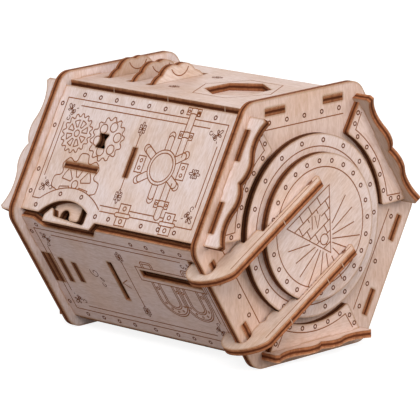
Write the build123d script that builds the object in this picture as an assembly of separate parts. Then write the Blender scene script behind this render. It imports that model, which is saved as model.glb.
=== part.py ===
from build123d import *
import os
from math import cos, pi, radians, sin, sqrt, tan

# Hexagonal plywood puzzle box. X runs along the prism, from the rear end to the end with the
# turning discs; +Z is up; the box stands on the lower edges of its two end plates at Z = 0.
# Directions round the prism are angles in the Y-Z plane: 0 is +Y and 90 is up.

# Sheet and hexagon
ply = 4.0
half_flats = 69.0
plate_corner_radius = 10.0
lip = 4.7
case_length = 142.0
joint_gap = 0.1

# Tabs that hold the six side panels in the end plates
panel_tab_width = 14.2
panel_tab_offset = 20.7

# Wavy valances and the shield plates inside them
rear_valance_overhang = 2.2
valance_tab_width = 12.0
valance_cusp_height = 7.9
valance_lobe_height = 10.8
valance_lobe_offset = 6.5
valance_waist_height = 8.0
valance_waist_offset = 23.0
valance_tip_height = 11.5
valance_tip_cut = 1.6
shield_band = 9.3
shield_half_angle = 28.2
shield_corner_radius = 1.7
shield_tab_width = 16.8
shield_tab_offset = 19.4

# Turning discs on the front end
shield_to_disc = 3.6
disc_step = 9.2
disc_float = 0.7
running_clearance = 0.05
collar_radius = 14.0
hub_radius = 8.0
thrust_ring_radius = 17.2
thrust_ring_thickness = 4.0
cam_radius = 24.0
cam_plate_gap = 9.0
gate_floor_radius = 17.4
gate_clearance = 0.6

# Clamp arms over the discs
arm_offset = 23.0
arm_head_reach = 5.6
arm_head_drop = 5.0
arm_head_radius = 24.0
arm_head_corner = 6.0
arm_hook_radius = 9.5
arm_tip_reach = 11.4
arm_tip_slope = 2.4
arm_tip_lip = 2.0
arm_rise_clear = 0.5
arm_rim_clear = 0.6
arm_back_height = 5.4
arm_foot_inset = 18.5
arm_foot_relief = 0.8
arm_notch_half_length = 4.0
arm_notch_height = 2.3
arm_notch_inset = 4.3
arm_small_notch_radius = 1.9
arm_lock_tab = 4.0
arm_lock_depth = 5.0
arm_slot_extra = 1.8

# Number dials
dial_radius = 21.1
dial_axis_drop = 8.2
dial_axis_y = 0.7
dial_distances = (11.0, 28.8, 43.4)
dial_lobes = 10
dial_lobe_radius = 9.0
dial_lobe_phase = 72.7
dial_slot_gap = 0.35
dial_slot_margin = 0.8
dial_shaft_radius = 3.0
spacer_radius = 5.0
spacer_play = 0.3

# Hexagonal window in the top
window_radius = 18.0
window_x = 22.0
window_y = 1.0
window_floor_margin = 5.0

# Keyhole and lever opening in the front upper panel
keyhole_x = -25.5
keyhole_s = 8.5
keyhole_width = 7.0
keyhole_height = 8.0
keyhole_waist = 4.6
keyhole_bite_radius = 4.2
arch_x = -33.0
arch_radius = 27.8
arch_rise = 8.8
tongue_left_x = -48.2
tongue_drop = 4.2
tongue_shoulder_drop = 0.7
tongue_peak_x = -43.4
tongue_peak_rise = 4.4
tongue_dip_x = -41.2
tongue_dip_drop = 0.6
tongue_toe_x = -12.3
tongue_right_x = -17.6
tongue_right_drop = 2.5
tongue_round = 1.3

# Openings in the front lower panel
notch_left_x = -52.0
notch_right_x = -9.9
notch_depth = 4.8
notch_left_slant = 6.0
notch_right_slant = 3.8
thin_slot_x = -12.0
thin_slot_width = 3.8
thin_slot_length = 26.5
wide_slot_x = 33.0
wide_slot_s = 10.0
wide_slot_length = 44.0
wide_slot_height = 5.0

# Inner frames and guides
frame_tab_width = 20.0
guide_distances = (14.5, 23.8)
guide_tabs = (16.5, 13.5)
guide_top = -8.0
bulkhead_x = 0.0
bulkhead_tab_width = 16.6
shelf_x = -33.8
shelf_length = 25.0
shelf_s = -7.2
shelf_depth = 24.0

# Drawer
drawer_half_width = 26.0
drawer_bottom = -34.0
drawer_top = 12.0
fence_gap = 1.1
drawer_clearance = 0.4
finger_hole_radius = 8.0
fence_half_width = 6.0
fence_bite = 5.5
gate_half_width = 7.0
tail_height = 8.8
tail_end_gap = 0.5
tail_fence_top = -18.0

# Finger lever behind the arch
lever_left_x = -46.3
lever_width = 19.7
lever_left_leg = 5.6
lever_right_leg = 7.6
lever_bottom_s = -35.4
lever_top_s = -10.3
lever_gap_top_s = -30.2
lever_foot_radius = 1.8
lever_play = 0.3
lever_travel = 7.0
lever_window_wall = 2.7
guide_block_length = 7.0
guide_block_height = 4.0
guide_block_s = -16.0
lever_cover_bottom_s = -23.0

# Worked out from the sizes above
plate_out = case_length / 2
plate_in = plate_out - ply
panel_out = half_flats - lip
panel_in = panel_out - ply
panel_half = panel_in / sqrt(3) - joint_gap / 2
front_valance_half_length = panel_half
rear_valance_half_length = panel_half + rear_valance_overhang
valance_sides = (150, 30, -90)
panel_sides = (90, 150, 210, 270, 330, 30)
shield_radius = panel_in - shield_band
outer_disc_radius = shield_radius - shield_to_disc
inner_disc_radius = outer_disc_radius - disc_step
outer_disc_back = plate_out + disc_float
outer_disc_face = outer_disc_back + ply
inner_disc_back = outer_disc_face + disc_float
inner_disc_face = inner_disc_back + ply
outer_cam_face = plate_in - cam_plate_gap
inner_cam_face = outer_cam_face - ply - disc_float
arm_top = inner_disc_face + arm_rise_clear + arm_back_height
arm_head_centre = plate_out - arm_head_drop
arm_lock_low = arm_head_centre - arm_hook_radius
dial_axis_height = panel_in - dial_axis_drop
fence_top = dial_axis_height - dial_radius + fence_bite
dial_places = [distance - plate_in for distance in dial_distances]
guide_places = [distance - plate_in for distance in guide_distances]
drawer_back_face = dial_places[-1] + ply / 2 + fence_gap + ply
lever_right_x = lever_left_x + lever_width
centre_shift = (plate_out + valance_tip_height - arm_top) / 2

parts = {}


def direction(angle):
    return Vector(0, cos(radians(angle)), sin(radians(angle)))


def axis_point(x=0.0):
    """Point on the prism's axis, with the whole box centred over the origin."""
    return Vector(x + centre_shift, 0, half_flats)


def side_plane(angle, distance):
    """Plane parallel to one side of the prism: local x along the box, local y up the side."""
    normal = direction(angle)
    return Plane(axis_point() + normal * distance, x_dir=(1, 0, 0), z_dir=normal)


def end_plane(x):
    """Plane across the prism: local x is Y, local y is Z above the prism's axis."""
    return Plane(axis_point(x), x_dir=(0, 1, 0), z_dir=(1, 0, 0))


def across(x_low, x_high, sketch):
    """A piece cut from sheets that lie across the prism, between two X places."""
    return extrude(end_plane(x_low) * sketch, x_high - x_low, dir=(1, 0, 0))


def on_side(angle, inner_distance, thickness, sketch):
    """A piece cut from a sheet that lies parallel to one side of the prism."""
    plane = side_plane(angle, inner_distance)
    return extrude(plane * sketch, thickness, dir=plane.z_dir)


def box(x_range, y_range, z_range):
    """A block between two X, two Y and two Z places, with Z taken from the prism's axis."""
    size = [high - low for low, high in (x_range, y_range, z_range)]
    middle = [(high + low) / 2 for low, high in (x_range, y_range, z_range)]
    return Pos(axis_point() + Vector(*middle)) * Box(*size)


def span(x_low, x_high, y_low, y_high):
    """A rectangle between its own local edges."""
    middle = Pos((x_low + x_high) / 2, (y_low + y_high) / 2)
    return middle * Rectangle(x_high - x_low, y_high - y_low)


def ring(x_low, x_high, outer, inner, y=0.0, z=0.0):
    return across(x_low, x_high, Pos(y, z) * (Circle(outer) - Circle(inner)))


def hexagon(half_width):
    return RegularPolygon(half_width / cos(pi / 6), 6)


def end_plate_outline():
    outline = hexagon(half_flats)
    return fillet(outline.vertices(), plate_corner_radius)


def end_plate_slots():
    slots = Sketch()
    middle = (panel_in + panel_out) / 2
    slot = Rectangle(ply, panel_tab_width + joint_gap)
    for angle in panel_sides:
        for offset in (-panel_tab_offset, panel_tab_offset):
            slots += Rot(0, 0, angle) * Pos(middle, offset) * slot
    tab = Rectangle(ply, valance_tab_width + joint_gap)
    for angle in valance_sides:
        slots += Rot(0, 0, angle) * Pos(middle, 0) * tab
    return slots


def drawer_opening(fence=False):
    half = drawer_half_width + drawer_clearance
    low = drawer_bottom - drawer_clearance
    high = drawer_top + drawer_clearance
    opening = span(-half, half, low, high)
    if fence:
        side = fence_half_width + drawer_clearance
        opening += span(-side, side, high - ply, fence_top + drawer_clearance)
    return opening


def make_end_plates():
    plate = end_plate_outline() - end_plate_slots()
    front = plate - Circle(collar_radius + running_clearance)
    parts["front_end_plate"] = across(plate_in, plate_out, front)
    parts["rear_end_plate"] = across(-plate_out, -plate_in, plate - drawer_opening())


def panel_sheet():
    sheet = Rectangle(2 * plate_in, 2 * panel_half)
    for x in (-plate_in - ply / 2, plate_in + ply / 2):
        for s in (-panel_tab_offset, panel_tab_offset):
            sheet += Pos(x, s) * Rectangle(ply, panel_tab_width)
    return sheet


def side_panel(angle, sheet):
    return on_side(angle, panel_in, ply, sheet)


def slot_for_tab(x, s, thickness, width, turned=False):
    """Slot as wide as the sheet is thick, with the joint gap along the tab's width only."""
    slot = Rectangle(thickness, width + joint_gap)
    return Pos(x, s) * Rot(0, 0, 90 if turned else 0) * slot


def dial_slots():
    height = panel_in - dial_axis_height
    chord = sqrt(dial_radius**2 - height**2) + dial_slot_margin
    slots = Sketch()
    for x in dial_places:
        slots += Pos(x, dial_axis_y) * Rectangle(ply + 2 * dial_slot_gap, 2 * chord)
    return slots


def window(radius):
    return Pos(window_x, window_y) * RegularPolygon(radius, 6, rotation=30)


def make_top():
    sheet = panel_sheet() - dial_slots() - window(window_radius)
    parts["top_panel"] = side_panel(90, sheet)
    floor = window(window_radius + window_floor_margin)
    parts["window_floor"] = on_side(90, panel_in - ply, ply, floor)


def keyhole():
    hole = Rectangle(keyhole_width, keyhole_height)
    bite = keyhole_waist / 2 + keyhole_bite_radius
    for x in (-bite, bite):
        hole -= Pos(x, 0) * Circle(keyhole_bite_radius)
    return Pos(keyhole_x, keyhole_s) * hole


def lever_tongue():
    """What stays of the panel under the arch; heights are taken from the panel's lower edge."""
    rounded = (
        (tongue_right_x, -tongue_right_drop),
        (tongue_dip_x, -tongue_dip_drop),
        (tongue_peak_x, tongue_peak_rise),
    )
    outline = Polygon(
        (tongue_left_x, -tongue_drop),
        (tongue_toe_x, -tongue_drop),
        (notch_right_x, 0),
        (arch_x + arch_radius, 0),
        (arch_x + arch_radius, arch_rise),
        (tongue_right_x, arch_rise),
        *rounded,
        (tongue_left_x, -tongue_shoulder_drop),
        align=None,
    )
    corners = [outline.vertices().sort_by_distance(Vector(*place))[0] for place in rounded]
    return Pos(0, -panel_half) * fillet(corners, tongue_round)


def arch():
    return Pos(arch_x, arch_rise - panel_half - arch_radius) * Circle(arch_radius)


def make_front_upper():
    sheet = panel_sheet() - keyhole() - (arch() - lever_tongue())
    below = span(tongue_left_x, notch_right_x, -panel_half - tongue_drop, -panel_half)
    sheet += lever_tongue() & below
    sheet -= slot_for_tab(bulkhead_x, 0, ply, bulkhead_tab_width)
    sheet -= slot_for_tab(shelf_x, shelf_s, ply, shelf_length, turned=True)
    parts["front_upper_panel"] = side_panel(150, sheet)


def arm_slots():
    """Slots beside the front plate that take the arms' lock tabs, the upper one over-long."""
    low = arm_lock_low
    high = low + arm_lock_tab + joint_gap
    half = ply / 2
    upper = span(low - arm_slot_extra, high, arm_offset - half, arm_offset + half + arm_slot_extra)
    lower = span(low - joint_gap, high, -arm_offset - half, -arm_offset + half)
    return upper + lower


def make_front_lower():
    notch_floor = panel_half - notch_depth
    notch = Polygon(
        (notch_left_x, notch_floor),
        (notch_right_x - notch_right_slant, notch_floor),
        (notch_right_x + joint_gap, panel_half),
        (notch_right_x + joint_gap, panel_half + ply),
        (notch_left_x - notch_left_slant, panel_half + ply),
        (notch_left_x - notch_left_slant, panel_half),
        align=None,
    )
    sheet = panel_sheet() - notch
    sheet -= Pos(thin_slot_x, 0) * Rectangle(thin_slot_width, thin_slot_length)
    sheet -= Pos(wide_slot_x, wide_slot_s) * Rectangle(wide_slot_length, wide_slot_height)
    sheet -= slot_for_tab(ply - plate_in, 0, 2 * ply, frame_tab_width)
    for x, tab in zip(guide_places, guide_tabs):
        sheet -= slot_for_tab(x, 0, ply, tab)
    sheet -= arm_slots()
    parts["front_lower_panel"] = side_panel(210, sheet)


def make_plain_panels():
    for name, angle in (("bottom_panel", 270), ("back_lower_panel", 330), ("back_upper_panel", 30)):
        parts[name] = side_panel(angle, panel_sheet())


def valance_edge(half_length, side):
    """Wavy free edge from the cusp in the middle to one flared tip with its corner cut off."""
    crossing = (
        (valance_lobe_height + valance_waist_height) / 2,
        side * (valance_lobe_offset + valance_waist_offset) / 2,
    )
    tip = (valance_tip_height, side * (half_length - valance_tip_cut))
    corner_end = (valance_tip_height - valance_tip_cut, side * half_length)
    edge = Curve() + ThreePointArc(
        (valance_cusp_height, 0), (valance_lobe_height, side * valance_lobe_offset), crossing
    )
    edge += ThreePointArc(crossing, (valance_waist_height, side * valance_waist_offset), tip)
    return edge + Polyline(tip, corner_end, (0, side * half_length))


def valance_sheet(half_length):
    edges = valance_edge(half_length, 1) + valance_edge(half_length, -1)
    sheet = make_face(edges + Line((0, half_length), (0, -half_length)))
    for s in (-shield_tab_offset, shield_tab_offset):
        slot = Rectangle(ply, shield_tab_width + joint_gap)
        sheet -= Pos(ply / 2, s) * slot
    return sheet + Pos(-ply / 2, 0) * Rectangle(ply, valance_tab_width)


def shield_sheet(angle):
    half_width = panel_in * tan(radians(shield_half_angle))
    sheet = Polygon((0, 0), (panel_in, -half_width), (panel_in, half_width), align=None)
    sheet -= Circle(shield_radius)
    corners = sheet.vertices().sort_by(Axis.X)[:2]
    sheet = fillet(corners, shield_corner_radius)
    for s in (-shield_tab_offset, shield_tab_offset):
        sheet += Pos(panel_in + ply / 2, s) * Rectangle(ply, shield_tab_width)
    return Rot(0, 0, angle) * sheet


def make_valances():
    names = {150: "front_side", 30: "back_side", -90: "bottom"}
    front = Pos(plate_out, 0) * valance_sheet(front_valance_half_length)
    rear = mirror(Pos(plate_out, 0) * valance_sheet(rear_valance_half_length), about=Plane.YZ)
    ends = (("front", front, plate_out), ("rear", rear, -plate_out - ply))
    for end, sheet, shield_low in ends:
        for angle in valance_sides:
            place = names[angle]
            parts[f"{end}_valance_{place}"] = on_side(angle, panel_in, ply, sheet)
            shield = across(shield_low, shield_low + ply, shield_sheet(angle))
            parts[f"{end}_shield_{place}"] = shield


def gate(width):
    """Slot cut up into a cam from its lowest point."""
    return span(-width / 2, width / 2, -cam_radius - ply, -gate_floor_radius)


def cam(x_face, bore):
    sheet = Circle(cam_radius) - Circle(bore) - gate(ply + 2 * gate_clearance)
    return across(x_face - ply, x_face, sheet)


def make_discs():
    bore = hub_radius + running_clearance
    parts["outer_disc"] = ring(outer_disc_back, outer_disc_face, outer_disc_radius, bore)
    parts["outer_disc_collar"] = ring(outer_cam_face - ply, outer_disc_back, collar_radius, bore)
    thrust_face = plate_in - disc_float
    thrust_back = thrust_face - thrust_ring_thickness
    thrust_ring = RegularPolygon(thrust_ring_radius, 12) - Circle(collar_radius)
    parts["outer_disc_thrust_ring"] = across(thrust_back, thrust_face, thrust_ring)
    parts["outer_disc_cam"] = cam(outer_cam_face, collar_radius)
    inner = Circle(inner_disc_radius)
    parts["inner_disc"] = across(inner_disc_back, inner_disc_face, inner)
    hub = Circle(hub_radius)
    parts["inner_disc_hub"] = across(inner_cam_face - ply, inner_disc_back, hub)
    parts["inner_disc_cam"] = cam(inner_cam_face, hub_radius)


def arm_head():
    """Swept nose over the plate's rim: a wide arc above its foremost point, a tight hook below."""
    foremost = -half_flats - arm_head_reach
    nose = Pos(foremost + arm_head_radius, arm_head_centre) * Circle(arm_head_radius)
    nose &= span(foremost, foremost + arm_head_radius, arm_head_centre, arm_top)
    corner = nose.vertices().sort_by_distance(Vector(-half_flats, arm_top))[0]
    hook_x = foremost + arm_hook_radius
    hook = Pos(hook_x, arm_head_centre) * Circle(arm_hook_radius)
    hook += span(hook_x, hook_x + arm_hook_radius, arm_lock_low, arm_head_centre)
    return fillet(corner, arm_head_corner) + hook


def arm_sheet():
    """Arm outline: local x runs inward across the plate, local y is X."""
    under_outer = outer_disc_face + arm_rise_clear
    under_inner = inner_disc_face + arm_rise_clear
    low_side = arm_offset - ply / 2
    outer_step = -sqrt(outer_disc_radius**2 - low_side**2) - arm_rim_clear
    inner_step = -sqrt(inner_disc_radius**2 - low_side**2) - arm_rim_clear
    foot_end = arm_foot_inset - half_flats
    bar_start = arm_head_radius - arm_head_reach - half_flats
    rest = plate_out
    relief = rest + arm_foot_relief
    bar = Polygon(
        (-half_flats, rest),
        (foot_end, rest),
        (foot_end, relief),
        (outer_step, relief),
        (outer_step, under_outer),
        (inner_step, under_outer),
        (inner_step, under_inner),
        (arm_tip_reach, under_inner),
        (arm_tip_reach, under_inner + arm_tip_lip),
        (arm_tip_reach - arm_tip_slope, arm_top),
        (bar_start, arm_top),
        (-half_flats, rest + arm_foot_relief),
        align=None,
    )
    sheet = bar + arm_head()
    sheet -= span(-half_flats, 0, plate_in, rest)
    sheet -= span(-panel_out, 0, 0, plate_in)
    notch = Ellipse(arm_notch_half_length, arm_notch_height)
    sheet -= Pos(arm_notch_inset - half_flats, rest) * notch
    sheet -= Pos(foot_end, rest) * Circle(arm_small_notch_radius)
    lock = span(
        -panel_out, arm_lock_depth - panel_out, arm_lock_low, arm_lock_low + arm_lock_tab
    )
    return sheet + lock


def make_arms():
    inward = direction(30)
    sheet = arm_sheet()
    for name, place in (("upper_clamp_arm", arm_offset), ("lower_clamp_arm", -arm_offset)):
        start = axis_point() + direction(120) * (place + ply / 2)
        plane = Plane(start, x_dir=inward, z_dir=direction(-60))
        parts[name] = extrude(plane * sheet, ply, dir=plane.z_dir)


def dial_sheet():
    lobe = Pos(dial_radius - dial_lobe_radius, 0) * Circle(dial_lobe_radius)
    sheet = Circle(dial_radius - dial_lobe_radius)
    for k in range(dial_lobes):
        sheet += Rot(0, 0, dial_lobe_phase + k * 360 / dial_lobes) * lobe
    sheet -= Circle(dial_shaft_radius + running_clearance)
    gate_top = fence_top + gate_clearance - dial_axis_height
    return sheet - span(-gate_half_width - dial_axis_y, gate_half_width - dial_axis_y,
                        -dial_radius - ply, gate_top)


def make_dials():
    sheet = Pos(dial_axis_y, dial_axis_height) * dial_sheet()
    for k, x in enumerate(dial_places, start=1):
        parts[f"number_dial_{k}"] = across(x - ply / 2, x + ply / 2, sheet)
    shaft = Pos(dial_axis_y, dial_axis_height) * Circle(dial_shaft_radius)
    parts["dial_shaft"] = across(ply - plate_in, bulkhead_x + ply / 2, shaft)
    neighbours = (*dial_places[1:], bulkhead_x)
    for k, (place, neighbour) in enumerate(zip(dial_places, neighbours), start=1):
        low = place + ply / 2 + spacer_play
        high = neighbour - ply / 2 - spacer_play
        spacer = RegularPolygon(spacer_radius, 6) - Circle(dial_shaft_radius)
        parts[f"dial_spacer_{k}"] = across(low, high, Pos(dial_axis_y, dial_axis_height) * spacer)


def shaft_hole():
    return Pos(dial_axis_y, dial_axis_height) * Circle(dial_shaft_radius)


def frame_tab(angle, width):
    """Tab on an inner frame that reaches through one side panel to its outer face."""
    middle = Pos(panel_out - ply, 0)
    return Rot(0, 0, angle) * middle * Rectangle(2 * ply, width)


def make_frames():
    ring_sheet = hexagon(panel_in) + frame_tab(210, frame_tab_width) - drawer_opening(fence=True)
    parts["rear_frame_outer"] = across(-plate_in, ply - plate_in, ring_sheet)
    parts["rear_frame_inner"] = across(
        ply - plate_in, 2 * ply - plate_in, ring_sheet - shaft_hole()
    )
    above = span(-case_length, case_length, guide_top, case_length)
    half = drawer_half_width + drawer_clearance
    channel = span(-half, half, drawer_bottom - drawer_clearance, half_flats)
    cradle = hexagon(panel_in) - above - channel
    names = ("drawer_guide_rear", "drawer_guide_front")
    for name, x, tab in zip(names, guide_places, guide_tabs):
        parts[name] = across(x - ply / 2, x + ply / 2, cradle + frame_tab(210, tab))
    tail_half = ply / 2 + drawer_clearance
    tail_slot = span(
        -tail_half, tail_half,
        drawer_bottom - drawer_clearance, drawer_bottom + tail_height + drawer_clearance,
    )
    sheet = hexagon(panel_in) + frame_tab(150, bulkhead_tab_width) - tail_slot - shaft_hole()
    parts["middle_bulkhead"] = across(bulkhead_x - ply / 2, bulkhead_x + ply / 2, sheet)
    shelf = Rectangle(shelf_length, ply)
    parts["keyhole_shelf"] = on_side(
        150, panel_out - shelf_depth, shelf_depth, Pos(shelf_x, shelf_s) * shelf
    )


def make_drawer():
    front = (-plate_out, -plate_in)
    body = (-plate_in, drawer_back_face - ply)
    back = (drawer_back_face - ply, drawer_back_face)
    width = (-drawer_half_width, drawer_half_width)
    height = (drawer_bottom, drawer_top)
    above_floor = (drawer_bottom + ply, drawer_top)
    middle = (drawer_bottom + drawer_top) / 2
    hole = Pos(0, middle) * Circle(finger_hole_radius)
    parts["drawer_front"] = across(*front, span(*width, *height) - hole)
    parts["drawer_floor"] = box(body, width, (drawer_bottom, drawer_bottom + ply))
    left = (-drawer_half_width, ply - drawer_half_width)
    right = (drawer_half_width - ply, drawer_half_width)
    parts["drawer_side_left"] = box(body, left, above_floor)
    parts["drawer_side_right"] = box(body, right, above_floor)
    parts["drawer_back"] = box(back, width, height)
    fence = (-fence_half_width, fence_half_width)
    parts["dial_fence"] = box(back, fence, (drawer_top, fence_top))
    tail_end = plate_in - tail_end_gap
    tail = (-ply / 2, ply / 2)
    tail_top = drawer_bottom + tail_height
    parts["drawer_tail"] = box((drawer_back_face, tail_end), tail, (drawer_bottom, tail_top))
    parts["tail_fence"] = box((tail_end - ply, tail_end), tail, (tail_top, tail_fence_top))


def make_lever():
    """Sliding lever that hangs on a fixed guide block, held in by a cover."""
    lever_out = panel_in - lever_play
    lever_in = lever_out - ply
    body = span(lever_left_x, lever_right_x, lever_bottom_s, lever_top_s)
    gap_low = lever_left_x + lever_left_leg
    gap_high = lever_right_x - lever_right_leg
    gap_round = (gap_high - gap_low) / 2
    gap = span(gap_low, gap_high, lever_bottom_s - ply, lever_gap_top_s - gap_round)
    gap += Pos((gap_low + gap_high) / 2, lever_gap_top_s - gap_round) * Circle(gap_round)
    window_right = lever_right_x - lever_window_wall
    block_right = window_right - lever_play / 2
    block_left = block_right - guide_block_length
    window_left = block_left - lever_travel - lever_play / 2
    block_low = guide_block_s - guide_block_height / 2
    block_high = guide_block_s + guide_block_height / 2
    guide_window = span(window_left, window_right, block_low - lever_play, block_high + lever_play)
    legs = body - gap
    legs = fillet(legs.vertices().sort_by(Axis.Y)[:4], lever_foot_radius)
    parts["finger_lever"] = on_side(150, lever_in, ply, legs - guide_window)
    block = span(block_left, block_right, block_low, block_high)
    cover_out = lever_in - lever_play
    parts["lever_guide_block"] = on_side(150, cover_out, panel_in - cover_out, block)
    cover = span(lever_left_x, lever_right_x + lever_travel, lever_cover_bottom_s, lever_top_s)
    parts["lever_cover"] = on_side(150, cover_out - ply, ply, cover)


def build():
    make_end_plates()
    make_top()
    make_front_upper()
    make_front_lower()
    make_plain_panels()
    make_valances()
    make_discs()
    make_arms()
    make_dials()
    make_frames()
    make_drawer()
    make_lever()


build()
os.makedirs("parts", exist_ok=True)
for name, solid in parts.items():
    solid.label = name
    export_step(solid, f"parts/{name}.step")
    print(name, round(solid.volume, 1))
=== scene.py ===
"""Looks of a hexagonal plywood puzzle box: birch sheets with burnt edges and engraving."""

import bmesh
import bpy
from math import ceil, cos, hypot, pi, radians, sin, sqrt, tanh
from mathutils import Matrix, Vector
from mathutils.bvhtree import BVHTree


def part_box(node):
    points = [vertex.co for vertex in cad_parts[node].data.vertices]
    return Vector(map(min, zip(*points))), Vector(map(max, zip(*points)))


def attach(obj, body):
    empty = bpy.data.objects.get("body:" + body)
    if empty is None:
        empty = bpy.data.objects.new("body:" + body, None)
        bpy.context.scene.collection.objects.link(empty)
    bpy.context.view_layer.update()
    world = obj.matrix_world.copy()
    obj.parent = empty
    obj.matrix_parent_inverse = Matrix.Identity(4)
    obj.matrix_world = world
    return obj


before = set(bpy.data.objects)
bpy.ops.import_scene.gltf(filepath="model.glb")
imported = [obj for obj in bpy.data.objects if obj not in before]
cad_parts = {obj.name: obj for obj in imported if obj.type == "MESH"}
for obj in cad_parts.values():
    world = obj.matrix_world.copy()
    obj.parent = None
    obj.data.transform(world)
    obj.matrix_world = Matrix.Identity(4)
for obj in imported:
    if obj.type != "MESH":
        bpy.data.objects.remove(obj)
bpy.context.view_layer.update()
mm = 0.001

# Places taken from the solids, in metres
front_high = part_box("front_end_plate")[1]
rear_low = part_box("rear_end_plate")[0]
middle_x = (front_high.x + rear_low.x) / 2
axis_z = front_high.z / 2
side_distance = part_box("top_panel")[1].z - axis_z
prism_centre = Vector((middle_x, 0, axis_z))

# Colours, linear
pale_tone = (0.80, 0.665, 0.64)
disc_tone = (0.81, 0.645, 0.595)
middle_tone = (0.79, 0.60, 0.53)
# Front lower panel: painted shade, a darker tone for the side that faces down, away from the
# light
shade_side_tone = (0.74, 0.565, 0.53)
warm_tone = (0.765, 0.565, 0.485)
# Clamp arms: partly their greyer wood, partly painted shade, darker so that the key lamp falling
# full on them doesn't brighten them
arm_tone = (0.69, 0.555, 0.49)
# Inner faces of the back-side valances: painted shade, darker because they face down and away
# from the light
shadow_tone = (0.56, 0.43, 0.36)
# Top panel: painted shade, a darker tone than its wood so that the lamps falling on the top don't
# brighten it
top_painted_shade_tone = (0.665, 0.505, 0.452)
# Lever: partly its tan wood, partly painted light, lighter to make up for the shade it lies in
tan_tone = (0.84, 0.625, 0.53)
dial_tone = (0.785, 0.645, 0.58)
# Dials 1 and 2: painted shadow, a darker copy of the dial tone for the shadow the next dial casts
# on them
shaded_dial_tone = (0.65, 0.49, 0.41)
fibre_shade = (0.83, 0.755, 0.68)
edge_pale = (0.54, 0.270, 0.150)
edge_light = (0.37, 0.140, 0.062)
edge_dark = (0.098, 0.026, 0.010)
burn = (0.30, 0.105, 0.036, 1)
deep_burn = (0.17, 0.050, 0.016, 1)
halo = (0.44, 0.245, 0.135, 1)
patch_shade = (0.97, 0.90, 0.82, 1)
bridge = (0.56, 0.36, 0.25, 1)
dowel_colour = (0.55, 0.36, 0.22, 1)
white = (1, 1, 1, 1)

# Grain, as noise scales across and along its direction, and what the laser did to the sheets
fibre_grain = (1150, 260)
streak_grain = (420, 22)
scorch_grain = (420, 60)
solid_grain = (500, 40)
rim_scorch_reach = 1.3 * mm
fibre_relief = 0.2 * mm
ply_waviness = 0.20
face_alignment = 0.9
grain_dimming = 0.75

# Sockets of the mix node, which shows several of the same name
value_a, value_b, value_out = 2, 3, 0
colour_a, colour_b, colour_out = 6, 7, 2

along_x = Vector((1, 0, 0))
along_y = Vector((0, 1, 0))
along_z = Vector((0, 0, 1))
valance_angles = {"front_side": 150, "back_side": 30, "bottom": -90}


def round_prism(angle):
    """The direction at an angle round the prism, from +Y towards +Z."""
    return Vector((0, cos(radians(angle)), sin(radians(angle))))


def new_material(name):
    material = bpy.data.materials.new(name)
    material.use_nodes = True
    tree = material.node_tree
    return material, tree, tree.nodes["Principled BSDF"]


def node(tree, kind, **inputs):
    made = tree.nodes.new(kind)
    for key, value in inputs.items():
        made.inputs[key].default_value = value
    return made


def object_place(tree):
    return tree.nodes.new("ShaderNodeTexCoord").outputs["Object"]


def stretched(tree, direction, grain):
    """Object coordinates squeezed so that noise runs in long streaks along one direction."""
    across_scale, along_scale = grain
    turn = node(tree, "ShaderNodeMapping")
    rotation = direction.normalized().rotation_difference(along_x).to_euler()
    turn.inputs["Rotation"].default_value = rotation
    tree.links.new(object_place(tree), turn.inputs["Vector"])
    squeeze = node(tree, "ShaderNodeMapping", Scale=(along_scale, across_scale, across_scale))
    tree.links.new(turn.outputs["Vector"], squeeze.inputs["Vector"])
    return squeeze.outputs["Vector"]


def noise(tree, place, scale=1.0, detail=3.0, roughness=0.5, distortion=0.0):
    made = node(tree, "ShaderNodeTexNoise", Scale=scale, Detail=detail)
    made.inputs["Roughness"].default_value = roughness
    made.inputs["Distortion"].default_value = distortion
    tree.links.new(place, made.inputs["Vector"])
    return made.outputs["Fac"]


def mixed_levels(tree, first, second, share):
    made = node(tree, "ShaderNodeMix", Factor=share)
    made.data_type = "FLOAT"
    tree.links.new(first, made.inputs[value_a])
    tree.links.new(second, made.inputs[value_b])
    return made.outputs[value_out]


def rising(tree, level, start, end, top=1.0):
    """Zero where the level is at start, top where it is at end, and even in between."""
    made = node(tree, "ShaderNodeMapRange", **{"From Min": start, "From Max": end, "To Max": top})
    tree.links.new(level, made.inputs["Value"])
    return made.outputs["Result"]


def laid_over(tree, amount, base, colour, blend="MIX"):
    """One colour laid over others by a varying amount."""
    made = tree.nodes.new("ShaderNodeMix")
    made.data_type = "RGBA"
    made.blend_type = blend
    made.inputs[colour_b].default_value = colour
    tree.links.new(amount, made.inputs["Factor"])
    tree.links.new(base, made.inputs[colour_a])
    return made.outputs[colour_out]


def colour_ramp(tree, level, stops):
    made = tree.nodes.new("ShaderNodeValToRGB")
    elements = made.color_ramp.elements
    for index in (0, -1):
        elements[index].position, elements[index].color = stops[index]
    for position, colour in stops[1:-1]:
        elements.new(position).color = colour
    tree.links.new(level, made.inputs["Fac"])
    return made.outputs["Color"]


def coat(tree, shader, colour, roughness, specular):
    tree.links.new(colour, shader.inputs["Base Color"])
    shader.inputs["Roughness"].default_value = roughness
    shader.inputs["Specular IOR Level"].default_value = specular


def shaded(colour, shade):
    return tuple(part * factor for part, factor in zip(colour, shade)) + (1,)


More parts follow.
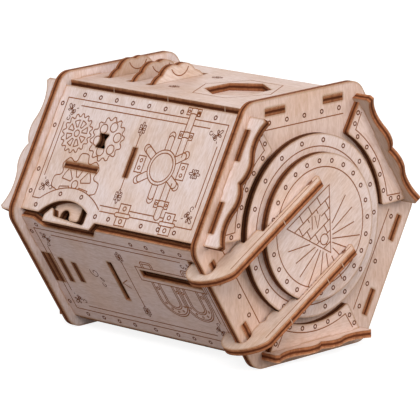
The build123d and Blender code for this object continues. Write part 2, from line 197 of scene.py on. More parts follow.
def make_face_material(name, grain_direction, tone):
    """Bare birch face: short fibres, soft streaks, cloudy patches and a scorched rim."""
    material, tree, shader = new_material(name)
    place = object_place(tree)
    fibre_place = stretched(tree, grain_direction, fibre_grain)
    fibres = noise(tree, fibre_place, roughness=0.6, distortion=0.3)
    streaks = noise(tree, stretched(tree, grain_direction, streak_grain))
    clouds = noise(tree, place, scale=45.0, detail=2.0)
    level = mixed_levels(tree, fibres, streaks, share=0.30)
    level = mixed_levels(tree, level, clouds, share=0.25)
    grain = colour_ramp(tree, level, ((0.40, shaded(tone, fibre_shade)), (0.59, tone + (1,))))
    patches = noise(tree, place, scale=38.0, detail=4.0, roughness=0.55)
    patch_amount = rising(tree, patches, start=0.42, end=0.66)
    patched = laid_over(tree, patch_amount, grain, patch_shade, "MULTIPLY")
    rim = node(tree, "ShaderNodeAmbientOcclusion", Distance=rim_scorch_reach)
    rim.inside = True
    rim.only_local = True
    rim.samples = 6
    rim_amount = rising(tree, rim.outputs["AO"], start=0.98, end=0.62, top=0.85)
    scorched = laid_over(tree, rim_amount, patched, halo)
    coat(tree, shader, scorched, roughness=0.6, specular=0.25)
    bump = node(tree, "ShaderNodeBump", Strength=0.25, Distance=fibre_relief)
    tree.links.new(fibres, bump.inputs["Height"])
    tree.links.new(bump.outputs["Normal"], shader.inputs["Normal"])
    return material


def make_edge_material(name, normal, start, thickness, shade):
    """Laser-burnt cut edge: a dark core between brown plies, paler at the outer face."""
    material, tree, shader = new_material(name)
    place = object_place(tree)
    depth = node(tree, "ShaderNodeVectorMath")
    depth.operation = "DOT_PRODUCT"
    depth.inputs[1].default_value = normal / thickness
    tree.links.new(place, depth.inputs[0])
    waves = noise(tree, place, scale=240.0, roughness=0.65)
    wavy_depth = tree.nodes.new("ShaderNodeMath")
    wavy_depth.operation = "MULTIPLY_ADD"
    wavy_depth.inputs[1].default_value = ply_waviness
    tree.links.new(waves, wavy_depth.inputs[0])
    tree.links.new(depth.outputs["Value"], wavy_depth.inputs[2])
    level = tree.nodes.new("ShaderNodeMath")
    level.operation = "SUBTRACT"
    level.inputs[1].default_value = start / thickness + ply_waviness / 2
    tree.links.new(wavy_depth.outputs["Value"], level.inputs[0])
    # The sheet's edge factor scales every edge colour: partly burn, partly painted shade and
    # painted light
    dimming = (shade, shade, shade)
    pale, light, dark = (shaded(tone, dimming) for tone in (edge_pale, edge_light, edge_dark))
    between = tuple((one + two) / 2 for one, two in zip(light, dark))
    plies = colour_ramp(tree, level.outputs["Value"], (
        (0.0, between), (0.10, light), (0.24, light), (0.33, between), (0.40, dark),
        (0.58, dark), (0.64, between), (0.70, light), (0.82, light), (0.90, pale),
        (0.97, pale), (1.0, between),
    ))
    scorch_place = stretched(tree, normal, scorch_grain)
    scorch = noise(tree, scorch_place, detail=4.0, roughness=0.7)
    scorch_amount = rising(tree, scorch, start=0.42, end=0.72, top=0.60)
    scorched = laid_over(tree, scorch_amount, plies, dark)
    coat(tree, shader, scorched, roughness=0.8, specular=0.05)
    return material


def make_plain_wood(name, colour, grain_direction):
    material, tree, shader = new_material(name)
    grain_place = stretched(tree, grain_direction, solid_grain)
    grain = noise(tree, grain_place, detail=4.0, roughness=0.6)
    dim_colour = tuple(part * grain_dimming for part in colour[:3]) + (1,)
    wood = colour_ramp(tree, grain, ((0.3, dim_colour), (0.65, colour)))
    coat(tree, shader, wood, roughness=0.7, specular=0.08)
    return material


def sheet_depth(name, normal):
    places = [vertex.co.dot(normal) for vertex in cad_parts[name].data.vertices]
    return min(places), max(places)


face_materials = {}
edge_materials = {}


def dress(name, normal, grain_direction, tone, shade):
    """Gives one sheet its pale faces and its burnt cut edges."""
    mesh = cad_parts[name].data
    low, high = sheet_depth(name, normal)
    face_key = tuple(round(part, 2) for part in grain_direction) + tone
    if face_key not in face_materials:
        face_name = f"birch_face_{len(face_materials)}"
        face_materials[face_key] = make_face_material(face_name, grain_direction, tone)
    edge_key = tuple(round(part, 2) for part in normal) + (round(low, 4), round(high, 4), shade)
    if edge_key not in edge_materials:
        edge_name = f"burnt_edge_{len(edge_materials)}"
        edge_materials[edge_key] = make_edge_material(edge_name, normal, low, high - low, shade)
    mesh.materials.clear()
    mesh.materials.append(face_materials[face_key])
    mesh.materials.append(edge_materials[edge_key])
    for polygon in mesh.polygons:
        polygon.material_index = 0 if abs(polygon.normal.dot(normal)) > face_alignment else 1


burnt_line = make_plain_wood("burnt_line", burn, along_x)
deep_line = make_plain_wood("deep_burnt_line", deep_burn, along_x)
bridge_mark = make_plain_wood("bridge_mark", bridge, along_x)

# The normal of each sheet and the direction of its grain
sheets = {
    "front_end_plate": (along_x, along_z),
    "rear_end_plate": (along_x, along_z),
    "outer_disc": (along_x, round_prism(60)),
    "inner_disc": (along_x, round_prism(40)),
    "outer_disc_cam": (along_x, along_z),
    "inner_disc_cam": (along_x, along_y),
    "outer_disc_thrust_ring": (along_x, along_z),
    "rear_frame_outer": (along_x, along_z),
    "rear_frame_inner": (along_x, along_z),
    "drawer_guide_rear": (along_x, along_z),
    "drawer_guide_front": (along_x, along_z),
    "middle_bulkhead": (along_x, along_z),
    "drawer_front": (along_x, along_z),
    "drawer_back": (along_x, along_y),
    "dial_fence": (along_x, along_z),
    "tail_fence": (along_x, along_z),
    "drawer_floor": (along_z, along_x),
    "drawer_side_left": (along_y, along_x),
    "drawer_side_right": (along_y, along_x),
    "drawer_tail": (along_y, along_x),
    "top_panel": (round_prism(90), along_x),
    "window_floor": (round_prism(90), along_x),
    "front_upper_panel": (round_prism(150), round_prism(60)),
    "front_lower_panel": (round_prism(210), along_x),
    "bottom_panel": (round_prism(270), along_x),
    "back_lower_panel": (round_prism(330), along_x),
    "back_upper_panel": (round_prism(30), along_x),
    "keyhole_shelf": (round_prism(60), along_x),
    "finger_lever": (round_prism(150), along_x),
    "lever_guide_block": (round_prism(150), along_x),
    "lever_cover": (round_prism(150), along_x),
    "upper_clamp_arm": (round_prism(120), round_prism(30)),
    "lower_clamp_arm": (round_prism(120), round_prism(30)),
    "number_dial_1": (along_x, round_prism(70)),
    "number_dial_2": (along_x, round_prism(110)),
    "number_dial_3": (along_x, round_prism(150)),
}
tones = {
    "front_end_plate": warm_tone,
    "rear_end_plate": pale_tone,
    "front_upper_panel": pale_tone,
    "outer_disc": disc_tone,
    "inner_disc": disc_tone,
    "top_panel": top_painted_shade_tone,
    "front_lower_panel": shade_side_tone,
    "upper_clamp_arm": arm_tone,
    "lower_clamp_arm": arm_tone,
    "finger_lever": tan_tone,
    "lever_guide_block": tan_tone,
    # painted shadow on the two rear dials
    "number_dial_1": shaded_dial_tone,
    "number_dial_2": shaded_dial_tone,
    "number_dial_3": dial_tone,
}
# How bright the burnt edge of a sheet is, the ones left out are at 1: partly how deep it is
# burnt, partly painted shade on edges in gaps, slots and the keyhole, and painted light on the
# lit edges of the arms and the bottom valance
edge_burn_and_painted_shading = {
    "outer_disc": 0.38,
    "inner_disc": 0.52,
    "outer_disc_cam": 0.5,
    "inner_disc_cam": 0.5,
    "front_upper_panel": 0.5,
    "front_lower_panel": 1.05,
    "top_panel": 0.85,
    "front_valance_bottom": 1.3,
    "front_valance_front_side": 0.8,
    "finger_lever": 0.5,
    "keyhole_shelf": 0.7,
    "middle_bulkhead": 0.7,
    "rear_frame_inner": 0.7,
    "rear_frame_outer": 0.7,
    "drawer_guide_front": 0.7,
    "drawer_guide_rear": 0.7,
    "upper_clamp_arm": 1.3,
    "lower_clamp_arm": 1.3,
}
# Shield edges: partly burn, partly painted shade for the gap beside the discs
shield_edge_burn_and_painted_shade = 0.75
for end in ("front", "rear"):
    tones[f"{end}_valance_front_side"] = pale_tone
    # painted shade on the back-side valances
    tones[f"{end}_valance_back_side"] = shadow_tone
    for side, angle in valance_angles.items():
        tangent = round_prism(angle - 90)
        sheets[f"{end}_valance_{side}"] = (round_prism(angle), tangent)
        sheets[f"{end}_shield_{side}"] = (along_x, tangent)
        edge_burn_and_painted_shading[f"{end}_shield_{side}"] = shield_edge_burn_and_painted_shade
for name, (normal, grain_direction) in sheets.items():
    tone = tones.get(name, middle_tone)
    dress(name, normal, grain_direction, tone, edge_burn_and_painted_shading.get(name, 1.0))

dowel = make_plain_wood("turned_birch", dowel_colour, along_x)
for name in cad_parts:
    if name not in sheets:
        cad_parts[name].data.materials.clear()
        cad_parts[name].data.materials.append(dowel)

# Engraving: burnt lines on the flat faces, in mm from the middle of the prism
line_width = 0.60
fine_width = 0.46
rivet_width = 0.66
bridge_width = 0.6
plain_tint, deep_tint, bridge_tint = 0, 1, 2
line_lift = 0.02
line_sink = 0.08
lift_steps = 9
curve_step = 0.45
fewest_steps = 5
step_growth_radius = 12
rivet_radius = 1.0
surface_reach = 0.01
sharpest_mitre = 0.55
shortest_bisector = 0.01
face_centre = (0, 0)


def turned(centre, radius, angle):
    """The point at some distance and angle from a centre."""
    return centre[0] + radius * cos(radians(angle)), centre[1] + radius * sin(radians(angle))


def arc(centre, radius, start, end, end_radius=None):
    """Points along an arc, or along a spiral when it ends at another radius."""
    last = radius if end_radius is None else end_radius
    length = radians(abs(end - start)) * (radius + last) / 2
    step_length = curve_step * (1 + radius / step_growth_radius)
    count = max(fewest_steps, int(length / step_length))
    points = []
    for step in range(count + 1):
        share = step / count
        angle = start + (end - start) * share
        points.append(turned(centre, radius + (last - radius) * share, angle))
    return points


def leaf(root, length, width, angle):
    """A closed teardrop that starts at its root and points at an angle."""
    steps = 12
    points = []
    for step in range(steps):
        share = step / steps
        along = length * (1 - cos(2 * pi * share)) / 2
        side = width / 2 * sin(2 * pi * share) * sqrt(max(along / length, 0))
        middle = turned(root, along, angle)
        points.append(turned(middle, side, angle + 90))
    return points


def wavy_circle(centre, low, high, waves, sharpness, start=0, fullness=0.0):
    """Outline of a gear or a lobed knob: its radius swings between two values."""
    points = []
    points_per_wave = 8 if waves > 10 else 14
    steps = waves * points_per_wave
    for step in range(steps):
        angle = 360 * step / steps
        wave = cos(radians(waves * (angle - start))) + fullness
        swing = tanh(sharpness * wave) / tanh(sharpness)
        points.append(turned(centre, (low + high) / 2 + (high - low) / 2 * swing, angle))
    return points


def rectangle(left, right, low, high):
    return [(left, low), (right, low), (right, high), (left, high)]


def triangle(centre, size, angle):
    return [turned(centre, size, angle + 120 * corner) for corner in range(3)]


def mirrored(x, half):
    """An outline with its mirror image on the other side of x, from end to end."""
    left = [(x - across, up) for across, up in half]
    return left + [(x + across, up) for across, up in half[::-1]]


def mitred(points, closed, half):
    """Left and right side of a line with some width."""
    sides = []
    count = len(points)
    for index, place in enumerate(points):
        before = points[index - 1] if closed or index > 0 else None
        after = points[(index + 1) % count] if closed or index < count - 1 else None
        first = (after - place if before is None else place - before).normalized()
        second = first if after is None else (after - place).normalized()
        across_first = Vector((-first.y, first.x))
        bisector = across_first + Vector((-second.y, second.x))
        bisector = bisector.normalized() if bisector.length > shortest_bisector else across_first
        reach = half / max(bisector.dot(across_first), sharpest_mitre)
        sides.append((place + bisector * reach, place - bisector * reach))
    return sides


class Engraving:
    """Burnt lines on one face of a sheet; points are (across, up) in mm, seen from outside."""

    def __init__(self, name, sheet, body, normal, up):
        self.name = name
        self.body = body
        self.normal = normal
        self.up = up
        self.across = up.cross(normal)
        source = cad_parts[sheet].data
        face = sheet_depth(sheet, normal)[1]
        self.origin = prism_centre + normal * (face - prism_centre.dot(normal))
        corners = [vertex.co for vertex in source.vertices]
        polygons = [polygon.vertices for polygon in source.polygons]
        self.surface = BVHTree.FromPolygons(corners, polygons)
        self.covered = []
        self.strokes = []

    def place(self, point, lift=0.0):
        offset = self.across * point[0] + self.up * point[1] + self.normal * lift
        return self.origin + offset * mm

    def shows(self, point):
        """Whether the sheet is there, and no other engraved shape covers the point."""
        if any(cover(point) for cover in self.covered):
            return False
        return self.surface.find_nearest(self.place(point))[3] < surface_reach * mm

    def line(self, points, closed=False, width=line_width, tint=plain_tint):
        """Adds a line, cut where it crosses a hole or leaves the sheet."""
        points = [Vector(point) for point in points]
        ends = points + points[:1] if closed else points
        dense = []
        for start, end in zip(ends, ends[1:]):
            steps = max(1, ceil((end - start).length / curve_step))
            dense += [start.lerp(end, step / steps) for step in range(steps)]
        dense.append(ends[-1])
        seen = [self.shows(point) for point in dense]
        if all(seen):
            self.strokes.append((points, closed, width, tint))
            return
        run = []
        for point, visible in zip(dense + [None], seen + [False]):
            if visible:
                run.append(point)
                continue
            if len(run) > 2:
                self.strokes.append((run, False, width, tint))
            run = []

    def circle(self, centre, radius, width=line_width, tint=plain_tint):
        self.line(arc(centre, radius, 0, 360)[:-1], closed=True, width=width, tint=tint)

    def ornament(self, points, closed=False):
        self.line(points, closed, fine_width, deep_tint)

    def rivets(self, places):
        for place in places:
            self.circle(place, rivet_radius, rivet_width, deep_tint)

    def fleur(self, centre, size, angle=90):
        """A cross of four leaves with a curl beside each of the long ones."""
        short_size, leaf_width = size * 0.62, size * 0.42
        curl_distance, curl_radius, curl_end = size * 0.58, size * 0.24, size * 0.08
        for quarter in range(4):
            length = size if quarter % 2 == 0 else short_size
            self.ornament(leaf(centre, length, leaf_width, angle + 90 * quarter), closed=True)
        for side in (-1, 1):
            for end in (0, 180):
                middle = turned(centre, curl_distance, angle + end + side * 42)
                start = angle + end + side * 150
                self.ornament(arc(middle, curl_radius, start, start - side * 300, curl_end))

    def flourish(self, corner):
        """Leaves in the corner of a border, with curls and a tail along each side."""
        diagonal = 45 if corner[0] * corner[1] > 0 else -45
        if corner[0] < 0:
            diagonal += 180
        self.ornament(leaf(corner, length=3.6, width=2.0, angle=diagonal), closed=True)
        self.ornament(leaf(corner, length=3.0, width=1.8, angle=diagonal + 180), closed=True)
        for side in (-1, 1):
            side_leaf = leaf(corner, length=2.6, width=1.3, angle=diagonal + side * 62)
            self.ornament(side_leaf, closed=True)
            along = diagonal + 180 - side * 45
            start = along + 180
            curl = turned(corner, 2.4, along + side * 22)
            self.ornament(arc(curl, 1.5, start, start - side * 400, end_radius=0.3))
            tail = turned(corner, 5.2, along - side * 6)
            self.ornament(arc(tail, 1.6, start, along - side * 150, end_radius=0.5))

    def bar(self, start, angle, length, width):
        """A rod with a round end and a band near it."""
        near = [turned(start, width / 2, angle + 90 * side) for side in (-1, 1)]
        end = turned(start, length - width / 2, angle)
        self.line([near[0]] + arc(end, width / 2, angle - 90, angle + 90) + [near[1]])
        band = turned(start, length - width, angle)
        self.line(arc(band, width / 2, angle - 90, angle + 90))

    def build(self):
        shape = bmesh.new()
        for index, (points, closed, width, tint) in enumerate(self.strokes):
            lift = line_lift * (1 + index % lift_steps / lift_steps)
            rows = []
            for left, right in mitred(points, closed, width / 2):
                top = [self.place(point, lift) for point in (left, right)]
                foot = [self.place(point, -line_sink) for point in (right, left)]
                rows.append([shape.verts.new(corner) for corner in top + foot])
            pairs = list(zip(rows, rows[1:]))
            if closed:
                pairs.append((rows[-1], rows[0]))
            for one, other in pairs:
                for side in range(4):
                    step = (side + 1) % 4
                    face = shape.faces.new((one[side], one[step], other[step], other[side]))
                    face.material_index = tint
            if not closed:
                for row in (rows[0], rows[-1][::-1]):
                    shape.faces.new(row).material_index = tint
        bmesh.ops.recalc_face_normals(shape, faces=shape.faces)
        mesh = bpy.data.meshes.new(self.name)
        shape.to_mesh(mesh)
        shape.free()
        for material in (burnt_line, deep_line, bridge_mark):
            mesh.materials.append(material)
        piece = bpy.data.objects.new(self.name, mesh)
        bpy.context.scene.collection.objects.link(piece)
        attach(piece, self.body)


def side_engraving(name, sheet, angle):
    """Work on a sheet of the case that lies at an angle round the prism."""
    return Engraving(name, sheet, "case", round_prism(angle), round_prism(angle - 90))


def end_engraving(sheet, normal=along_x, body="case"):
    """Work on a sheet that stands across the prism."""
    return Engraving(f"{sheet}_engraving", sheet, body, normal, along_z)


def seen_angle(angle, normal):
    """An angle round the prism as it looks from the end that the normal points to."""
    return angle if normal.x > 0 else 180 - angle


def in_box(left, right, low, high):
    return lambda point: left < point[0] < right and low < point[1] < high


def in_circle(centre, radius):
    return lambda point: hypot(point[0] - centre[0], point[1] - centre[1]) < radius


def in_triangle(corners):
    """Whether a point is on the inner side of all three edges."""
    edges = list(zip(corners, corners[1:] + corners[:1]))
    return lambda point: all(
        (b[0] - a[0]) * (point[1] - a[1]) > (b[1] - a[1]) * (point[0] - a[0]) for a, b in edges
    )


def spread(first, last, count):
    return [first + (last - first) * step / (count - 1) for step in range(count)]


def border(work, half_width, half_height, gap, corner):
    """Two lines round a panel; the inner one stops short of the corner flourishes."""
    work.line(rectangle(-half_width, half_width, -half_height, half_height), closed=True)
    inner_width, inner_height = half_width - gap, half_height - gap
    for height in (-inner_height, inner_height):
        work.line([(corner - half_width, height), (half_width - corner, height)])
    for side in (-inner_width, inner_width):
        work.line([(side, corner - half_height), (side, half_height - corner)])
    flourish_inset = gap + 2.6
    for x in (flourish_inset - half_width, half_width - flourish_inset):
        for s in (flourish_inset - half_height, half_height - flourish_inset):
            work.flourish((x, s))


def gear_openings(work, centre, inner, outer, count, start):
    """Rounded wedge-shaped holes between the hub and the rim of a wheel."""
    width = 360 / count * 0.3
    for index in range(count):
        middle = start + 360 * index / count
        wedge = arc(centre, outer, middle - width, middle + width)
        wedge += arc(centre, inner, middle + width * 0.6, middle - width * 0.6)
        work.line(wedge, closed=True)


def engrave_gears(work):
    left_gear, right_gear = (-46, 10), (-22.5, 9.8)
    work.line(wavy_circle(left_gear, low=9.2, high=10.9, waves=16, sharpness=2.0), closed=True)
    work.circle(left_gear, 1.8)
    gear_openings(work, left_gear, inner=3.6, outer=7.3, count=8, start=20)
    outline = wavy_circle(right_gear, low=10.3, high=12.2, waves=14, sharpness=1.6, start=10)
    work.line(outline, closed=True)
    hole_distance, hole_radius = 7.1, 2.6
    for index in range(6):
        work.circle(turned(right_gear, hole_distance, 14 + 60 * index), hole_radius)


def engrave_knob(work):
    """A lobed knob half hidden by the riveted band over the arch."""
    centre = (-34, -17)
    lobes = wavy_circle(centre, low=13.0, high=17.2, waves=8, sharpness=2.2, fullness=0.35)
    work.line(lobes, closed=True)
    work.circle(centre, 2.2)
    gear_openings(work, centre, inner=4.2, outer=11.0, count=6, start=30)


def engrave_hand_wheel(work):
    centre = (23, 0.5)
    spoke_width = 4.1
    plate_half, plate_low, plate_high = 2.6, -4.2, 4.8
    for radius in (7.8, 9.5):
        work.circle(centre, radius)
    for angle in (90, 270):
        work.bar(turned(centre, 9.4, angle), angle, length=10.0, width=spoke_width)
    for angle in (31, 149, 211, 329):
        work.bar(turned(centre, 9.2, angle), angle, length=9.6, width=spoke_width)
    for offset in (-15.7, 15.3):
        x = centre[0] + offset
        work.line(rectangle(x - plate_half, x + plate_half, plate_low, plate_high), closed=True)
        for s in (-1.7, 2.3):
            work.circle((x, s), 0.9)


def engrave_pipe(work):
    """A pipe behind the hand wheel, held by three clamps with lugs."""
    left, right = 30.0, 34.4
    middle, radius = (left + right) / 2, (right - left) / 2
    clamps = (32.0, 19.0, -18.4)
    clamp_half, lug_offset, lug_half = 1.9, 1.4, 1.3
    clamp_reach = 2.7
    foot = -24.6
    for clamp in clamps:
        for s in (clamp - 1.5, clamp + 1.5):
            work.line(arc((middle, s - 6.4), 7.0, 110, 70))
        low, high = clamp - clamp_half, clamp + clamp_half
        for x in (left - lug_offset, right + lug_offset):
            work.line(rectangle(x - lug_half, x + lug_half, low, high), closed=True)
            work.circle((x, clamp), 0.7)
    for clamp in clamps:
        low, high = clamp - clamp_half, clamp + clamp_half
        work.covered.append(in_box(left - clamp_reach, right + clamp_reach, low, high))
    for x in (left, right):
        work.line([(x, 33.5), (x, 7.5)])
        work.line([(x, -6.5), (x, foot)])
    work.line(arc((middle, foot), radius, 180, 360))
    work.covered.append(in_box(left, right, -26.5, -20.4))
    work.covered.append(in_box(left, right, 20.9, 34.0))


def engrave_hinge(work, x):
    """A strap hinge: two riveted plates and the round pin between them."""
    half, low, high = 3.7, -33.6, -21.9
    pin, pin_radius, pin_half, pin_reach = -27.9, 1.1, 4.6, 5.7
    for start, end in ((low, pin - pin_radius), (pin + pin_radius, high)):
        work.line(rectangle(x - half, x + half, start, end), closed=True)
        work.circle((x, (start + end) / 2 + 0.1), 1.1)
    left_end = arc((x - pin_half, pin), pin_radius, 90, 270)
    right_end = arc((x + pin_half, pin), pin_radius, -90, 90)
    work.line(left_end + right_end, closed=True)
    work.covered.append(in_box(x - half, x + half, low, high))
    work.covered.append(in_box(x - pin_reach, x + pin_reach, pin - pin_radius, pin + pin_radius))


def engrave_front_upper():
    """The side with the keyhole: gears, pipe, hinges and hand wheel in a riveted border."""
    work = side_engraving("front_upper_engraving", "front_upper_panel", 150)
    left, right, low, high = -61.5, 59, -28, 28.3
    arch_side, arch_foot, inner_line = -10.4, -27.6, 25
    work.rivets([(x, 31.0) for x in spread(-50.3, 48.1, 9)])
    work.rivets([(-64.5, s) for s in (-24.6, -12.3, 12.3, 24.6)])
    work.rivets([(x, -31.3) for x in (-57, -11, -1, 23.5, 36, 48)])
    band = (-33, -53.8)
    band_radius, hidden_radius = 34.8, 34.7
    work.rivets([turned(band, 31.8, angle) for angle in (77, 106)])
    work.line(arc(band, band_radius, 49, 131))
    work.covered.append(in_circle(band, hidden_radius))
    engrave_knob(work)
    engrave_gears(work)
    engrave_pipe(work)
    for x in (7.9, 40.9):
        engrave_hinge(work, x)
    engrave_hand_wheel(work)
    for s in (18.5, -18.5):
        work.fleur((0, s), 3.9)
    work.fleur((47.5, 0.3), 3.9, 0)
    work.line([(0, 14.4), (0, -14.4)])
    outer = [(arch_side, low), (right, low), (right, high), (left, high), (left, arch_foot)]
    work.line(outer + [(-56, arch_foot)])
    work.line([(-50, inner_line), (47, inner_line)])
    work.line([(arch_side, -inner_line), (47, -inner_line)])
    work.line([(-58.5, 15), (-58.5, -15)])
    work.line([(56.2, 16.5), (56.2, -16.5)])
    for corner in ((-56, 22.5), (54, 22.5), (54, -22.5), (-56, -20.5)):
        work.flourish(corner)
    work.build()


def engrave_front_lower():
    """The side with the slots: a long plate with two hanging bends in a riveted border."""
    work = side_engraving("front_lower_engraving", "front_lower_panel", 210)
    work.rivets([(x, 30.2) for x in (-58, 14.5, 26, 38.5, 51)])
    work.rivets([(x, -31.5) for x in (-54.5, -42, -30, -18, -2, 15, 27, 39, 51)])
    work.rivets([(-65, s) for s in (-24.5, 24.5)])
    work.line(rectangle(-61.5, 58.5, -28.5, 27.5), closed=True)
    for s in (24.5, -25.0):
        work.line([(-50, s), (48, s)])
    for x in (-58, 55.5):
        work.line([(x, -15.5), (x, 15.5)])
    for corner in ((-56, 22), (53, 21.5), (53, -21.5), (-56, -21.5)):
        work.flourish(corner)
    plate_low, plate_high = 5.2, 14.4
    work.line(rectangle(8.6, 57, plate_low, plate_high), closed=True)
    for x in (18.2, 48.6):
        work.line(mirrored(x, [(4.2, plate_high), (4.2, 17.6), (3, 18.8)]))
        work.line(mirrored(x, [(2.8, plate_high), (2.8, 17.4)]))
    bend_height, bend_middle = -6.0, 7.2
    for x in (26, 44):
        for radius in (4.2, 5.4, 9.0, 10.2):
            bend = arc((x, bend_height), radius, 180, 360)
            work.line([(x - radius, plate_low)] + bend + [(x + radius, plate_low)])
        for angle in (200, 235, 270, 305, 340):
            work.circle(turned((x, bend_height), bend_middle, angle), 0.6, fine_width)
        for side in (-bend_middle, bend_middle):
            work.circle((x + side, 1.5), 0.9)
    for s in (18.5, -18.5):
        work.fleur((-1, s), 3.7)
    work.line([(-1, 14.6), (-1, -14.6)])
    work.line([(-4.2, 2.4), (-9.0, -0.6), (-4.2, -3.4)])
    work.ornament(arc((-29.0, 2.6), 3.4, 150, 560, 0.8))
    work.ornament(leaf((-26.4, -0.2), 3.0, 1.5, -50), closed=True)
    work.ornament(arc((-25.6, -5.2), 1.6, 120, 480, 0.4))
    work.build()


def engrave_top():
    work = side_engraving("top_engraving", "top_panel", 90)
    window_centre, hexagon_radius = (22, 1), 24
    hexagon = [turned(window_centre, hexagon_radius, 60 * corner) for corner in range(6)]
    work.line(hexagon, closed=True)
    for s in (-14.5, 16.5):
        work.fleur((-9.5, s), 3.6, 0)
    work.build()


def engrave_plain_panel(sheet, angle):
    """The sides that face away carry the same border and rivets round one ornament."""
    work = side_engraving(f"{sheet}_engraving", sheet, angle)
    work.rivets([(x, s) for x in spread(-50, 50, 9) for s in (-31.4, 31.2)])
    work.rivets([(x, s) for x in (-64.5, 64.5) for s in (-24.6, -12.3, 12.3, 24.6)])
    border(work, half_width=61.5, half_height=28.3, gap=3.0, corner=11.0)
    for radius in (7.8, 9.5):
        work.circle(face_centre, radius)
    work.fleur(face_centre, 6.6)
    for x in (-30, 30):
        work.fleur((x, 0), 4.2, 0)
    work.build()


def engrave_end(sheet, normal, hidden_rivets=()):
    """Rivets and a line along those sides of an end plate that carry no shield."""
    work = end_engraving(sheet, normal)
    rivet_distance, line_distance, line_half = 56.7, 53.3, 28
    for angle in (90, -30, 210):
        seen = seen_angle(angle, normal)
        middle = turned(face_centre, rivet_distance, seen)
        sides = [side for side in (-25, -12.5, 0, 12.5, 25) if (angle, side) not in hidden_rivets]
        work.rivets([turned(middle, side, seen + 90) for side in sides])
        middle = turned(face_centre, line_distance, seen)
        work.line([turned(middle, side, seen + 90) for side in (-line_half, line_half)])
    work.build()


def engrave_shields():
    """A riveted rim that follows the arc and both straight ends of each shield."""
    rim_radius, rim_turn = 55.2, 23.6
    for end, normal in (("front", along_x), ("rear", -along_x)):
        for side, angle in valance_angles.items():
            seen = seen_angle(angle, normal)
            work = end_engraving(f"{end}_shield_{side}", normal)
            work.rivets([turned(face_centre, 53.0, seen + 10 * step) for step in range(-2, 3)])
            for half in (-1, 1):
                for radius, turn in ((57.6, 25.9), (63.4, 26.7)):
                    work.rivets([turned(face_centre, radius, seen + half * turn)])
            rim = arc(face_centre, rim_radius, seen - rim_turn, seen + rim_turn)
            ends = [turned(face_centre, 64.8, seen + half * 24.9) for half in (-1, 1)]
            work.line([ends[0]] + rim + [ends[1]])
            work.build()


def engrave_outer_disc():
    work = end_engraving("outer_disc", body="outer_disc_group")
    work.circle(face_centre, 40.9)
    work.rivets([turned(face_centre, 44.1, 20 * step - 1) for step in range(18)])
    work.build()


def engrave_pyramid(work):
    """A brick triangle with a ring at its tip and plain rays around the tip."""
    centre, tip_angle, size = (-3.1, 3.1), -60, 20.5
    rows, brick_length, side_slope = 6, 7.4, 1 / sqrt(3)
    work.line(triangle(centre, size, tip_angle), closed=True)
    base_height = 1.5 * size
    base_middle = turned(centre, size / 2, tip_angle + 180)
    ring = turned(centre, 11.6, tip_angle)
    work.circle(ring, 2.8)
    work.covered += [in_circle(centre, 4.4), in_circle(ring, 2.7)]
    for row in range(1, rows):
        depth = base_height * row / rows
        half = (base_height - depth) * side_slope
        middle = turned(base_middle, depth, tip_angle)
        work.line([turned(middle, side * half, tip_angle + 90) for side in (-1, 1)])
    for row in range(rows - 1):
        top = turned(base_middle, base_height * row / rows, tip_angle)
        below = turned(base_middle, base_height * (row + 1) / rows, tip_angle)
        reach = (base_height - base_height * (row + 1) / rows) * side_slope
        for joint in range(-3, 4):
            side = (joint + row % 2 / 2) * brick_length
            if abs(side) < reach:
                work.line([turned(middle, side, tip_angle + 90) for middle in (top, below)])
    work.covered.clear()
    numeral = ([(-2.6, 3.4), (-2.6, -3.4)], [(-0.6, 3.4), (1.3, -3.4), (3.2, 3.4)])
    for stroke in numeral:
        work.line([(centre[0] + x, centre[1] + y) for x, y in stroke])
    work.covered.append(in_triangle(triangle(centre, size + 2.4, tip_angle)))
    ray_start, ray_ends = 4.0, (26.0, 22.5, 24.5)
    for step in range(13):
        angle = -176 + 19 * step
        work.line([turned(ring, reach, angle) for reach in (ray_start, ray_ends[step % 3])])


def engrave_inner_disc():
    work = end_engraving("inner_disc", body="inner_disc_group")
    work.rivets([turned(face_centre, 34.3, 15 * step - 1) for step in range(24)])
    work.covered.append(lambda point: hypot(*point) > 30.6)
    engrave_pyramid(work)
    work.covered.clear()
    work.circle(face_centre, 31.0)
    work.build()


def engrave_arms():
    """A line near the outer edge of each arm, rings along it and a leaf at the tip."""
    for sheet in ("upper_clamp_arm", "lower_clamp_arm"):
        work = side_engraving(f"{sheet}_engraving", sheet, 120)
        outer = (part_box(sheet)[1].x - middle_x) / mm
        work.line([(outer - 3.4, -62), (outer - 3.4, 10)], width=fine_width)
        for step in range(5):
            work.circle((outer - 6.0, -32 + 3.6 * step), 0.8, fine_width, deep_tint)
        work.fleur((outer - 5.4, 5.5), 2.2)
        work.build()


def engrave_dials():
    for number in (1, 2, 3):
        low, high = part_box(f"number_dial_{number}")
        axis = (low.y + high.y) / 2 / mm, ((low.z + high.z) / 2 - axis_z) / mm
        work = end_engraving(f"number_dial_{number}", body=f"dial_{number}")
        work.line(arc(turned(axis, 20.4, 88), 6.4, 200, 340))
        work.build()


def mark_bridges():
    """Pale marks across burnt edges, where small bridges held the sheets as they were cut."""
    top_edge, arm_offset, reach = side_distance / mm, 23, 8
    edges = (
        ("top_panel", round_prism(180), along_z, (0, reach),
         [(x, top_edge) for x in (-33.6, 7.3, 49.4)]),
        ("upper_clamp_arm", along_x, round_prism(30), (reach, 0),
         [(-arm_offset, -22.5)]),
        ("lower_clamp_arm", along_x, round_prism(30), (reach, 0),
         [(arm_offset, s) for s in (-45.6, -14.4, -2.0)]),
    )
    for sheet, normal, up, (across, along), marks in edges:
        work = Engraving(f"{sheet}_marks", sheet, "case", normal, up)
        for x, s in marks:
            ends = [(x + side * across, s + side * along) for side in (-1, 1)]
            work.line(ends, width=bridge_width, tint=bridge_tint)
        work.build()


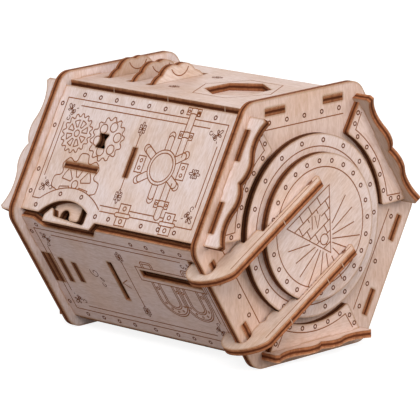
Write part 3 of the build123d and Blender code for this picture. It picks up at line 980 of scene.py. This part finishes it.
engrave_front_upper()
engrave_front_lower()
engrave_top()
for sheet, angle in (("bottom_panel", 270), ("back_lower_panel", 330), ("back_upper_panel", 30)):
    engrave_plain_panel(sheet, angle)
engrave_end("front_end_plate", along_x, hidden_rivets=[(210, -25)])
engrave_end("rear_end_plate", -along_x)
engrave_shields()
engrave_outer_disc()
engrave_inner_disc()
engrave_arms()
engrave_dials()
mark_bridges()

# Camera, fitted to the edges of the end plates
camera_azimuth = radians(46.66)
camera_elevation = radians(12.633)
camera_roll = radians(1.759)
camera_place = Vector((1.4732, -1.3909, 0.4516)) + prism_centre
focal_pixels = 3975.18
frame_pixels = 420
sensor = 36.0

back = Vector((
    sin(camera_azimuth) * cos(camera_elevation),
    -cos(camera_azimuth) * cos(camera_elevation),
    sin(camera_elevation),
))
level_right = Vector((cos(camera_azimuth), sin(camera_azimuth), 0))
level_up = back.cross(level_right)
right = level_right * cos(camera_roll) - level_up * sin(camera_roll)
up = level_right * sin(camera_roll) + level_up * cos(camera_roll)
camera_data = bpy.data.cameras.new("camera")
camera_data.lens = focal_pixels / frame_pixels * sensor
camera_data.sensor_width = sensor
camera_data.clip_end = 20
camera = bpy.data.objects.new("camera", camera_data)
camera.matrix_world = Matrix((
    (right.x, up.x, back.x, camera_place.x),
    (right.y, up.y, back.y, camera_place.y),
    (right.z, up.z, back.z, camera_place.z),
    (0, 0, 0, 1),
))
bpy.context.scene.collection.objects.link(camera)
bpy.context.scene.camera = camera

# Floor
floor_half = 6.0
floor_grey = 0.34
floor_glow = 0.86


def seen_directly(tree):
    """One for rays from the camera and for the mirror rays that show the background."""
    paths = tree.nodes.new("ShaderNodeLightPath")
    total = paths.outputs["Is Camera Ray"]
    for ray in ("Is Glossy Ray", "Is Transmission Ray"):
        add = tree.nodes.new("ShaderNodeMath")
        add.operation = "ADD"
        add.use_clamp = True
        tree.links.new(total, add.inputs[0])
        tree.links.new(paths.outputs[ray], add.inputs[1])
        total = add.outputs["Value"]
    return total


floor_mesh = bpy.data.meshes.new("floor")
floor_outline = rectangle(-floor_half, floor_half, -floor_half, floor_half)
floor_mesh.from_pydata([(x, y, 0) for x, y in floor_outline], [], [(0, 1, 2, 3)])
floor = bpy.data.objects.new("floor", floor_mesh)
bpy.context.scene.collection.objects.link(floor)
floor_material, floor_tree, floor_shader = new_material("floor_white")
floor_shader.inputs["Base Color"].default_value = (floor_grey, floor_grey, floor_grey, 1)
floor_shader.inputs["Roughness"].default_value = 1.0
floor_shader.inputs["Specular IOR Level"].default_value = 0.0
floor_shader.inputs["Emission Color"].default_value = white
glow = floor_tree.nodes.new("ShaderNodeMath")
glow.operation = "MULTIPLY"
glow.inputs[1].default_value = floor_glow
floor_tree.links.new(seen_directly(floor_tree), glow.inputs[0])
floor_tree.links.new(glow.outputs["Value"], floor_shader.inputs["Emission Strength"])
floor_mesh.materials.append(floor_material)

# Soft lamps, each with its place and size in metres and its power in watts
lamps = {
    "key": ((0.90, -0.99, 1.40), 1.7, 34.5),
    "fill": ((1.6, 0.7, 0.7), 0.9, 10),
    "back": ((-1.30, 1.25, 0.36), 0.9, 7.8),
}
aim = Vector((0, 0, axis_z))
for name, (place, size, power) in lamps.items():
    lamp_data = bpy.data.lights.new(name, "AREA")
    lamp_data.size = size
    lamp_data.energy = power
    lamp = bpy.data.objects.new(name, lamp_data)
    lamp.location = place
    lamp.rotation_euler = (Vector(place) - aim).to_track_quat("Z", "Y").to_euler()
    bpy.context.scene.collection.objects.link(lamp)

# World: white behind the object, and a weaker even light on it
world_light = 0.30
world = bpy.data.worlds.new("studio")
bpy.context.scene.world = world
world.use_nodes = True
world_tree = world.node_tree
world_shader = world_tree.nodes["Background"]
world_shader.inputs["Color"].default_value = white
world_level = node(world_tree, "ShaderNodeMapRange", **{"To Min": world_light})
world_tree.links.new(seen_directly(world_tree), world_level.inputs["Value"])
world_tree.links.new(world_level.outputs["Result"], world_shader.inputs["Strength"])

bpy.context.scene.view_settings.view_transform = "Standard"
